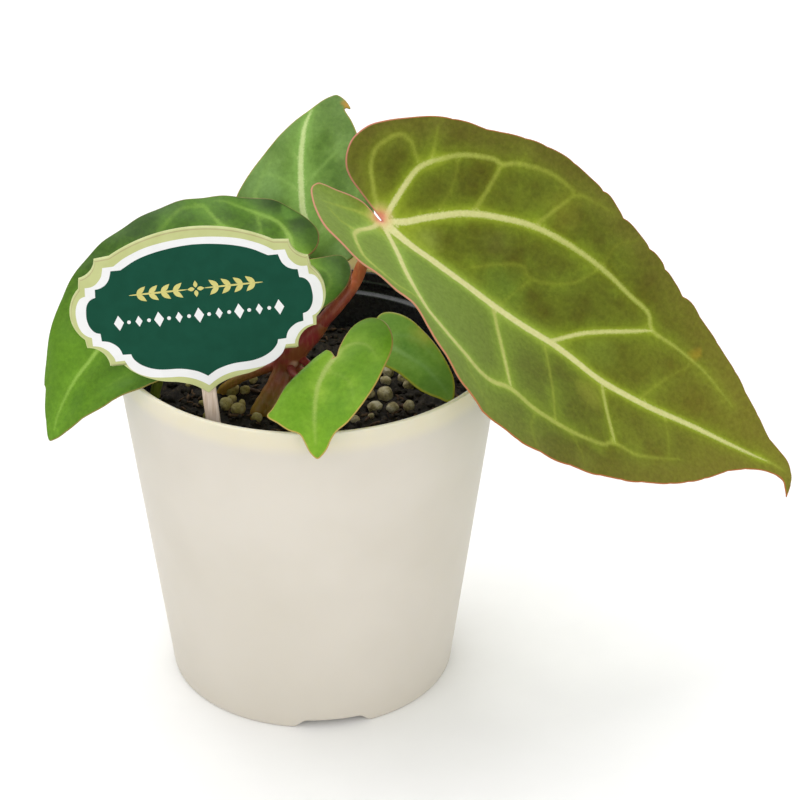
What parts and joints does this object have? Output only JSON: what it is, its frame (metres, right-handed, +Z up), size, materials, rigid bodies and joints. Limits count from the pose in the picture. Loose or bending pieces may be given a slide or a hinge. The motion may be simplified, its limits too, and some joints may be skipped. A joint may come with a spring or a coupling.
{
  "type": "potted anthurium clarinervium",
  "caption": "Young potted aroid with heart-shaped, pale-veined leaves on red petioles, in a tapered cream pot with an inner grower pot, potting mix and a shaped plant label.",
  "frame": {"origin": "centre of the pot's base, on the surface that it stands on", "axes": "+Z up the pot's axis, -Y towards the side that the picture shows, +X towards the tip of the large leaf"},
  "size_m": [0.2088, 0.1154, 0.1648],
  "materials": {
    "cream_polypropylene": "satin moulded, slightly translucent",
    "black_polypropylene": "thin glossy black",
    "potting_mix": "moist bark and peat with perlite beads",
    "crown_skin": "living stem, dark red",
    "petiole_skin": "living petiole, smooth red-brown",
    "olive_leaf": "living velvety leaf, olive with pale veins",
    "green_leaf": "living leaf, mid green with pale veins",
    "young_leaf": "living young leaf, bright green",
    "shoot_skin": "living shoot",
    "label_print": "printed, satin",
    "stake_wood": "raw strip of wood"
  },
  "bodies": {
    "root": {"cover_pot": "cream_polypropylene", "grower_pot": "black_polypropylene", "soil": "potting_mix", "crown": "crown_skin", "petiole_large": "petiole_skin", "petiole_left": "petiole_skin", "petiole_back": "petiole_skin", "petiole_small_front": "petiole_skin", "petiole_small_right": "petiole_skin", "blade_large": "olive_leaf", "blade_left": "green_leaf", "blade_back": "green_leaf", "blade_small_front": "young_leaf", "blade_small_right": "young_leaf", "side_shoot": "shoot_skin", "label_plaque": "label_print", "label_stake": "stake_wood"}
  },
  "joints": []
}
